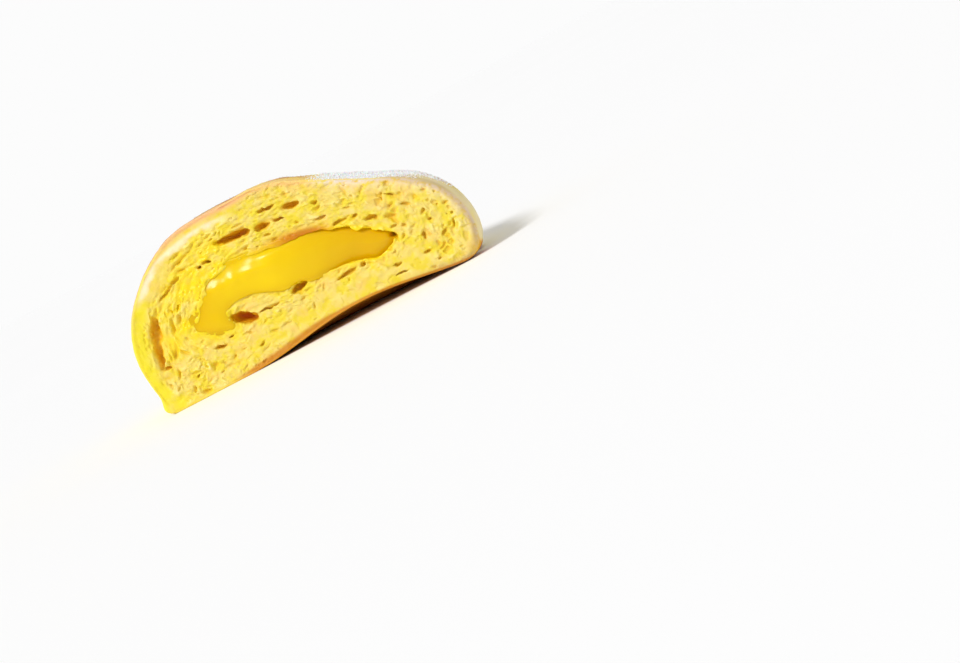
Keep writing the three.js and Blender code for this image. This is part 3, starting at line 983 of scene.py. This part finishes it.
def custard_looks(x, y, z, cut):
    """Round the custard: crumb that it has soaked, and orange painted shade under the crumb that overhangs
    it.
    """
    walls = np.maximum(custard_walls(x, y, z), 0)
    tongue = ramp(-21, -18, x) * (1 - ramp(15.5, 18, z))
    left = ramp(-6, -16, x) * ramp(9, 15, z) * (1 - tongue)
    patchy = 0.9 + noise(x / 2.0, y, z / 1.6, 66)
    smear = mix(fading(walls, 0.8), bell(walls, 0, 8.5) * patchy, left)
    shade = bell(walls, 0, 1.1) * ramp(-0.3, 0.4, y) * mix(0.25, 0.95, ramp(-5, 4, x))
    return {"smear": smear * cut, "shade": shade * span(*SHADE_X, x) * ramp(12, 18, z)}


def paint_pastry(piece):
    """Stores for the material where the cut, the painted light and shade by its depth, the browning, the
    sugar and the rest are.
    """
    x, y, z = points_of(piece).astype(np.float32).T
    upward = read(piece.data.vertex_normals, "vector", np.float32, 3)[:, 2]
    form, angle = form_field(x, y, z)
    skin, _ = skin_field(x, y, z)
    above_base = z - base_height(x, y)
    under = np.minimum(-skin, above_base + 0.1)
    cut = ramp(0.3, 0.8, under) * (1 - ramp(*CUT_ENDS_Y, y))
    level = -form - np.interp(y, [b.start for b in BANDS], [b.drop for b in BANDS])
    base_edge = 0.9 + 1.3 * ramp(-27, -16, x) * ramp(10, -4, x)
    looks = {
        "cut": cut,
        # painted highlight on the raised crumb and painted shade in its hollows, by depth behind the cut
        **{name: ramp(*depths, y) * cut for name, depths in CUT_DEPTHS.items()},
        **rim_looks(x, y, z, angle, under),
        **skin_looks(x, y, z, angle, upward, under),
        **custard_looks(x, y, z, cut),
        # painted shade: skin deep in the slits between the bands is browner
        "slit": ramp(1.6, 4.5, level) * ramp(5, 8, y) * (1 - cut),
        "base": (1 - ramp(0.5, 1, above_base / base_edge)) * mix(0.2, 1, ramp(-30, -19, x)),
    }
    for name, values in looks.items():
        set_attribute(piece, name, values)


GRAINS = 16_000
GRAIN_SIZES = (0.07, 0.16)
GRAIN_RAISED = 0.3


def make_sugar(pieces):
    """Grains of sugar, half sunk in the skin where the sugar attribute says."""
    rng = np.random.default_rng(17)
    corners, shares = [], []
    for piece in pieces:
        mesh = piece.data
        mesh.calc_loop_triangles()
        triangles = read(mesh.loop_triangles, "vertices", np.int32, 3)
        corners.append(points_of(piece)[triangles])
        shares.append(read(mesh.attributes["sugar"].data, "value", np.float32)[triangles].mean(1))
    corners, shares = np.concatenate(corners), np.concatenate(shares)
    normals = np.cross(corners[:, 1] - corners[:, 0], corners[:, 2] - corners[:, 0])
    areas = np.linalg.norm(normals, axis=1)
    weights = areas * shares**1.5
    picked = rng.choice(len(corners), GRAINS, p=weights / weights.sum())
    u, v = rng.uniform(0, 1, (2, GRAINS))
    u, v = np.where(u + v > 1, 1 - u, u), np.where(u + v > 1, 1 - v, v)
    a, b, c = corners[picked].transpose(1, 0, 2)
    middles = a + u[:, None] * (b - a) + v[:, None] * (c - a)
    sizes = rng.uniform(*GRAIN_SIZES, GRAINS)[:, None]
    outward = normals[picked] / np.maximum(areas[picked], 1e-9)[:, None]
    middles += outward * sizes * GRAIN_RAISED
    axes, _ = np.linalg.qr(rng.normal(size=(GRAINS, 3, 3)))
    axes *= np.sign(np.linalg.det(axes))[:, None, None]
    cube = np.array([(i, j, k) for i in (-1, 1) for j in (-1, 1) for k in (-1, 1)], float)
    shapes = cube * rng.uniform(0.55, 1, (GRAINS, 8, 1)) @ axes
    points = (middles[:, None] + shapes * sizes[:, None]).reshape(-1, 3)
    sides = np.array([(0, 1, 3, 2), (4, 6, 7, 5), (0, 4, 5, 1), (2, 3, 7, 6), (0, 2, 6, 4), (1, 5, 7, 3)])
    quads = (np.arange(GRAINS)[:, None, None] * 8 + sides).reshape(-1, 4)
    grains = mesh_object("sugar_grains", points, quads)
    grains.data.shade_flat()
    grains.data.materials.append(sugar_material())
    return grains


# Custard: where its left part turns into its right, how far its front stands back in each, how it comes
# forward along the left part, and how much it swells between its edges
CUSTARD_RIGHT_X = (-4, 20)
FRONT_LEFT, FRONT_RIGHT = 0.6, 2.2
FORWARD_FROM, FORWARD_TO, FORWARD_LEAN = -20.0, -4.0, 0.055
SWELL_LEFT, SWELL_RIGHT = 0.4, 1.3
SWELL_REACH = 1.6
# Shoulder along the custard: its height, its fall to the right, how far up its front leans back, how softly
# that begins and ends, and how steeply it leans
SHOULDER_HEIGHT = 21.6
SHOULDER_FALL = 0.05
SHOULDER_WIDTH = 1.4
SHOULDER_SOFTNESS = 0.5
SHOULDER_LEAN = 0.25
# Small swellings on the shoulder, whose upper sides glint: x, z, half width, half height, tilt in degrees
SWELLINGS = (
    (-19.0, 22.5, 1.9, 1.5, 0), (-13.9, 22.5, 1.5, 1.4, 0), (-8.4, 22.2, 3.2, 1.1, -13),
)
SWELLING_HEIGHT = 0.32
# Waves of the front, along and across their own direction
WAVE_ALONG, WAVE_ACROSS = 0.83, 0.55
WAVES = ((0.12, 4.5, 3, 1, 41), (0.03, 2.2, 1.6, 1, 42))
# Under the crumb that hangs over it the front stands further back: x, z, half width, half height
RECESS, RECESS_DEPTH = (1.5, 25.7, 7, 1.2), 2.2
# The custard runs past its outline into the crumb, more at the upper left and less over the tongue.
SMEAR, SMEAR_UPPER_LEFT, SMEAR_OVER_TONGUE = 0.9, 1.8, 0.5
FRONT_ROUNDING, END_ROUNDING = 0.6, 1.0
# Gaps that the custard leaves at its right end and over the pocket under it: x, z, half width, half height
GAPS = ((26.2, 14.1, 1.7, 1.0), (-0.5, 13.3, 2.5, 1.2))
GAP_DEPTH = 4.5


def custard_field(x, y, z):
    """Distance from the custard, whose front swells, leans and waves."""
    walls = custard_walls(x, y, z)
    right = ramp(*CUSTARD_RIGHT_X, x)
    above = z - SHOULDER_HEIGHT + SHOULDER_FALL * x
    begun, ended = (np.logaddexp(0, (above - start) / SHOULDER_SOFTNESS) for start in (0, SHOULDER_WIDTH))
    shoulder = SHOULDER_LEAN * SHOULDER_SOFTNESS * (begun - ended)
    for at_x, at_z, wide, high, tilt in SWELLINGS:
        along, across = turned(x - at_x, z - at_z, tilt * DEGREE)
        shoulder = shoulder - SWELLING_HEIGHT * spot(along, across, 0, 0, wide, high)
    forward = FORWARD_LEAN * (np.clip(x, FORWARD_FROM, FORWARD_TO) - FORWARD_FROM)
    waves = bumps(WAVE_ALONG * x + WAVE_ACROSS * z, WAVE_ALONG * z - WAVE_ACROSS * x, 0 * x, WAVES)
    swell = mix(SWELL_LEFT, SWELL_RIGHT, right) * (1 - fading(-walls, SWELL_REACH))
    front = mix(FRONT_LEFT, FRONT_RIGHT, right) - forward * (1 - right) + shoulder + waves - swell
    front = front + RECESS_DEPTH * spot(x, z, *RECESS)
    over_tongue = ramp(-22, -19, x) * ramp(-4, -8, x) * (1 - ramp(17, 19, z))
    smeared = SMEAR + SMEAR_UPPER_LEFT * ramp(-9, -20, x) * ramp(16, 19, z) - SMEAR_OVER_TONGUE * over_tongue
    field = smooth_max(walls - smeared, front - y, FRONT_ROUNDING)
    field = smooth_max(field, y - CUSTARD_LENGTH, END_ROUNDING)
    for gap_x, gap_z, wide, high in GAPS:
        gap = (1 - np.hypot(np.hypot((x - gap_x) / wide, (z - gap_z) / high), y / GAP_DEPTH)) * high
        field = smooth_max(field, gap, FRONT_ROUNDING)
    return field


def settle(field, points, steps=3):
    """Moves the points onto the zero level of a smooth field."""
    reach = 0.05
    for _ in range(steps):
        value = field(*points.T)
        slope = np.stack([
            (field(*(points + reach * axis).T) - field(*(points - reach * axis).T)) / (2 * reach)
            for axis in np.eye(3, dtype=np.float32)
        ], 1)
        length = np.maximum((slope**2).sum(1), 0.1)
        points = points - np.clip(value / length, -0.3, 0.3)[:, None] * slope
    return points


def make_custard():
    front, rest = grid_line(*CUSTARD_FRONT_Y, CUSTARD_STEP), grid_line(*CUSTARD_REST_Y, 3 * CUSTARD_STEP)
    xs, zs = (grid_line(*ends, CUSTARD_STEP) for ends in (CUSTARD_GRID_X, CUSTARD_GRID_Z))
    lines = xs, np.concatenate([front, rest[1:]]), zs
    points, quads = surface_of(sample(custard_field, *lines), *lines)
    custard = mesh_object("custard_filling", settle(custard_field, points), quads)
    x, _, z = points_of(custard).T
    edge = 0.5 * fading(-beyond_outline(x, z), 0.9)
    left_end = 0.45 * ramp(-15, -24, x)
    set_attribute(custard, "shaded", 0.9 * ramp(*CUSTARD_RIGHT_X, x) + edge + left_end)
    custard.data.materials.append(custard_material())
    return custard


class Nodes:
    """Short ways to add shader nodes to one material."""

    def __init__(self, name):
        self.material = bpy.data.materials.new(name)
        self.material.use_nodes = True
        self.tree = self.material.node_tree
        self.place = self.tree.nodes.new("ShaderNodeTexCoord").outputs["Object"]

    def feed(self, node, inputs):
        """Links the inputs that come from other nodes, and sets the others on the node itself."""
        for socket, source in inputs.items():
            if hasattr(source, "is_linked"):
                self.tree.links.new(source, node.inputs[socket])
            else:
                node.inputs[socket].default_value = source

    def add(self, kind, inputs, **settings):
        node = self.tree.nodes.new(kind)
        for name, value in settings.items():
            setattr(node, name, value)
        self.feed(node, inputs)
        return node.outputs

    def attribute(self, name):
        return self.add("ShaderNodeAttribute", {}, attribute_name=name)["Fac"]

    def noise(self, scale, detail=3.0, roughness=0.5):
        inputs = {"Vector": self.place, "Scale": scale, "Detail": detail, "Roughness": roughness}
        return self.add("ShaderNodeTexNoise", inputs)["Fac"]

    def math(self, operation, a, b):
        return self.add("ShaderNodeMath", {0: a, 1: b}, operation=operation)["Value"]

    def times(self, a, b):
        return self.math("MULTIPLY", a, b)

    def plus(self, a, b):
        return self.math("ADD", a, b)

    def ramp(self, value, low, high):
        inputs = {"Value": value, "From Min": low, "From Max": high}
        return self.add("ShaderNodeMapRange", inputs, interpolation_type="SMOOTHSTEP")["Result"]

    def layers(self, colour, *layers):
        """The colour with others laid over it in turn, each by its share."""
        for share, over in layers:
            colour = self.add("ShaderNodeMix", {"Factor": share, 6: colour, 7: over}, data_type="RGBA")[2]
        return colour

    def bump(self, height, distance, strength):
        inputs = {"Height": height, "Distance": distance, "Strength": strength}
        return self.add("ShaderNodeBump", inputs)["Normal"]

    def finish(self, inputs):
        """Feeds the material's shader and gives the material."""
        self.feed(self.tree.nodes["Principled BSDF"], inputs)
        return self.material


def rgb(*screen):
    """A colour given by its screen values from 0 to 255."""
    values = [v / 255 for v in screen]
    return (*(v / 12.92 if v <= 0.04045 else ((v + 0.055) / 1.055) ** 2.4 for v in values), 1.0)


CRUMB_LIGHT = rgb(232, 209, 108)
# painted highlight on the crumb that stands forward of the cut
CRUMB_RIDGE_HIGHLIGHT = rgb(240, 222, 138)
CRUMB_LEMON = rgb(230, 208, 52)
CRUMB_PEACH = rgb(236, 202, 108)
# Painted shade of the crumb, ever darker: in its hollows, deeper in, under the crumb over the custard, and
# deepest in
CRUMB_HOLLOW_SHADE = rgb(234, 192, 36)
CRUMB_DEEP_SHADE = rgb(228, 172, 14)
CRUMB_SHADE = rgb(202, 120, 0)
CRUMB_DEEPEST_SHADE = rgb(204, 100, 6)
# painted highlight of the sheen along the upper left edge
CRUMB_SHEEN_HIGHLIGHT = rgb(248, 233, 200)
CRUMB_RIM = rgb(237, 221, 212)
CRUST_EDGE = rgb(237, 184, 130)
FLAP_YELLOW = rgb(234, 218, 38)
SOAKED = rgb(244, 214, 10)
DOUGH_PALE = rgb(248, 238, 186)
DOUGH_YELLOW = rgb(247, 222, 72)
DOUGH_LEMON = rgb(248, 227, 50)
DOUGH_PEACH = rgb(247, 211, 84)
# painted shade of the cut band's right side
DOUGH_SIDE_SHADE = rgb(244, 226, 170)
# painted shadow of the cut's rim
RIM_SHADOW_LINE = rgb(200, 168, 112)
CRUST_GOLD = rgb(226, 178, 100)
CRUST_BROWN = rgb(172, 112, 72)
# painted shade in the slits between the bands
SLIT_SHADE_BROWN = rgb(214, 122, 22)
BASE_BROWN = rgb(198, 124, 2)
SUGAR_DUST = rgb(243, 240, 240)
SUGAR_WHITE = rgb(248, 246, 245)
CUSTARD_YELLOW = rgb(236, 204, 0)
CUSTARD_DEEP = rgb(218, 171, 0)


def dough_material():
    n = Nodes("baked_dough")
    share = n.attribute
    fine = n.noise(520, 4, 0.6)
    grain = n.noise(2600, 3, 0.7)
    crumb = n.layers(
        CRUMB_LIGHT,
        (n.ramp(n.noise(260, 4, 0.6), 0.4, 0.6), CRUMB_LEMON),
        (n.times(n.ramp(n.noise(190), 0.52, 0.68), 0.7), CRUMB_PEACH),
        # painted highlight: crumb standing forward of the cut is lighter
        (n.times(share("ridge_highlight"), 0.75), CRUMB_RIDGE_HIGHLIGHT),
        (n.times(share("flap"), n.ramp(n.noise(210), 0.1, 0.6)), FLAP_YELLOW),
        # painted highlight: the sheen along the upper left edge
        (share("sheen_highlight"), CRUMB_SHEEN_HIGHLIGHT),
        # painted shade: hollows of the crumb darker and more golden
        (n.times(share("hollow"), 0.7), CRUMB_HOLLOW_SHADE),
        (n.times(share("smear"), 0.95), SOAKED),
        (share("shade"), CRUMB_SHADE),
        (n.times(share("pale"), n.ramp(n.noise(900), 0.3, 0.55)), CRUMB_RIM),
        # painted shade: deeper in the pores and slits ever browner
        (share("deep"), CRUMB_DEEP_SHADE),
        (share("deepest_shade"), CRUMB_DEEPEST_SHADE),
    )
    brown, sugar = share("brown"), share("sugar")
    dust = n.plus(n.times(grain, 0.5), n.times(n.noise(5200, 2, 0.6), 0.5))
    dust = n.ramp(n.plus(dust, n.times(sugar, 0.2)), 0.55, 0.67)
    skin = n.layers(
        DOUGH_YELLOW,
        (n.ramp(n.noise(95), 0.45, 0.65), DOUGH_LEMON),
        (n.times(n.ramp(n.noise(55, 2), 0.5, 0.7), 0.6), DOUGH_PEACH),
        (n.ramp(n.plus(share("lip"), n.noise(45, 2)), 0.35, 1.4), DOUGH_PALE),
        # painted shade: the cut band's right side near the cut in duller tan
        (n.times(share("tan"), n.ramp(n.noise(130), 0.2, 0.6)), DOUGH_SIDE_SHADE),
        (n.ramp(brown, 0.05, 0.55), CRUST_GOLD),
        (n.ramp(n.plus(brown, n.times(fine, 0.3)), 0.5, 1.05), CRUST_BROWN),
        (n.times(dust, n.ramp(sugar, 0.0, 0.45)), SUGAR_DUST),
        # painted shade deep in the slits between the bands
        (share("slit"), SLIT_SHADE_BROWN),
    )
    whole = n.layers(
        skin,
        (share("cut"), crumb),
        # painted shadow line behind the cut's rim
        (n.times(share("line"), 0.6), RIM_SHADOW_LINE),
        (share("crust"), CRUST_EDGE),
        (n.times(share("base"), 0.9), BASE_BROWN),
    )
    gloss = n.plus(n.times(share("smear"), 0.35), n.times(share("sheen_highlight"), 0.2))
    along_band = n.plus(n.times(share("place"), 26), n.noise(40, 1))
    layered = n.add("ShaderNodeTexNoise", {"W": along_band}, noise_dimensions="1D")["Fac"]
    edges = n.times(layered, n.plus(n.times(share("lip"), 1.5), 0.3))
    height = n.plus(n.times(fine, 0.6), n.times(grain, 0.4))
    return n.finish({
        "Base Color": whole,
        "Roughness": n.math("SUBTRACT", 0.62, gloss),
        "Specular IOR Level": 0.3,
        "Subsurface Weight": 0.4,
        "Subsurface Scale": 0.0009,
        "Subsurface Radius": (1.0, 0.85, 0.4),
        "Normal": n.bump(n.plus(height, edges), 0.0002, 0.45),
    })


def custard_material():
    n = Nodes("custard")
    colour = n.layers(
        CUSTARD_YELLOW,
        (n.attribute("shaded"), CUSTARD_DEEP),
        (n.times(n.ramp(n.noise(60, 2), 0.4, 0.65), 0.3), CUSTARD_DEEP),
    )
    return n.finish({
        "Base Color": colour,
        "Roughness": n.plus(0.17, n.times(n.noise(300, 2), 0.1)),
        "Specular IOR Level": 0.2,
        "Subsurface Weight": 0.4,
        "Subsurface Scale": 0.002,
        "Subsurface Radius": (1.0, 0.7, 0.1),
        "Normal": n.bump(n.noise(220, 2), 0.0001, 0.3),
    })


def sugar_material():
    n = Nodes("sugar")
    return n.finish({
        "Base Color": n.layers(SUGAR_DUST, (n.ramp(n.noise(900, 1), 0.35, 0.65), SUGAR_WHITE)),
        "Roughness": 0.35,
        "Subsurface Weight": 0.3,
        "Subsurface Scale": 0.0005,
    })


# Camera and light
PHOTO_WIDTH, PHOTO_HEIGHT = 960, 663
SENSOR = 36.0
LENS = 85.0
CAMERA_AZIMUTH = 14 * DEGREE
CAMERA_ELEVATION = 2.5 * DEGREE
CAMERA_DISTANCE = 0.546
CAMERA_ROLL = 28.6 * DEGREE
AIM = np.array([0.0, 0.0, 18.0])
AIM_PIXEL = (291.5, 269.5)


def make_camera():
    """Looks at the cut face from the photograph's side, turned so that its base climbs to the right."""
    back = Vector((
        math.sin(CAMERA_AZIMUTH) * math.cos(CAMERA_ELEVATION),
        -math.cos(CAMERA_AZIMUTH) * math.cos(CAMERA_ELEVATION),
        math.sin(CAMERA_ELEVATION),
    ))
    aim = Vector(AIM * MM + ORIGIN)
    level = (-back).to_track_quat("-Z", "Y").to_matrix()
    rolled = level @ Matrix.Rotation(-CAMERA_ROLL, 3, "Z")
    per_pixel = SENSOR / LENS / PHOTO_WIDTH
    seen = Vector((
        (AIM_PIXEL[0] - PHOTO_WIDTH / 2) * per_pixel,
        (PHOTO_HEIGHT / 2 - AIM_PIXEL[1]) * per_pixel,
        -1,
    ))
    turn = rolled @ seen.rotation_difference(Vector((0, 0, -1))).to_matrix()
    data = bpy.data.cameras.new("camera")
    data.lens = LENS
    data.sensor_width = SENSOR
    data.clip_start = 0.01
    camera = add_object("camera", data)
    camera.matrix_world = Matrix.Translation(aim + back * CAMERA_DISTANCE) @ turn.to_4x4()
    bpy.context.scene.camera = camera


FLOOR_HALF = 6.0


def make_stage():
    mesh = bpy.data.meshes.new("floor")
    corners = [(x * FLOOR_HALF, y * FLOOR_HALF, 0) for x, y in ((-1, -1), (1, -1), (1, 1), (-1, 1))]
    mesh.from_pydata(corners, [], [(0, 1, 2, 3)])
    floor = add_object("floor", mesh)
    floor.location.z = PASTRY_LOW.z
    n = Nodes("floor_white")
    colour = n.layers(rgb(250, 250, 250), (n.noise(3, 2), rgb(248, 248, 248)))
    mesh.materials.append(n.finish({"Base Color": colour, "Roughness": 0.9}))


SUN_FROM = Vector((-0.45, -0.7, 0.75))
SUN_STRENGTH = 2.1
SUN_ANGLE = 16 * DEGREE
SKY_STRENGTH = 0.6


def make_lights():
    """One soft sun, and an even white sky that the camera sees a little brighter than it lights."""
    data = bpy.data.lights.new("key", "SUN")
    data.energy = SUN_STRENGTH
    data.angle = SUN_ANGLE
    add_object("key", data).rotation_euler = SUN_FROM.to_track_quat("Z", "Y").to_euler()
    world = bpy.data.worlds.new("studio")
    world.use_nodes = True
    tree = world.node_tree
    sky = tree.nodes["Background"]
    sky.inputs["Strength"].default_value = SKY_STRENGTH
    sky.inputs["Color"].default_value = (1, 1, 1, 1)
    white = tree.nodes.new("ShaderNodeBackground")
    white.inputs["Color"].default_value = rgb(252, 252, 252)
    which = tree.nodes.new("ShaderNodeMixShader")
    seen = tree.nodes.new("ShaderNodeLightPath")
    for source, target in (
        (seen.outputs["Is Camera Ray"], which.inputs[0]),
        (sky.outputs[0], which.inputs[1]),
        (white.outputs[0], which.inputs[2]),
        (which.outputs[0], tree.nodes["World Output"].inputs["Surface"]),
    ):
        tree.links.new(source, target)
    bpy.context.scene.world = world
    bpy.context.scene.view_settings.view_transform = "Standard"


make_camera()
dough = dough_material()
pastry_pieces = [make_cut_band(), make_rolled_bands()]
for piece in pastry_pieces:
    piece.data.materials.append(dough)
    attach(piece, "root")
    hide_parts("pastry")

sugar = make_sugar(pastry_pieces)
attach(sugar, "root")

custard = make_custard()
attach(custard, "root")
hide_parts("custard")

make_stage()
make_lights()
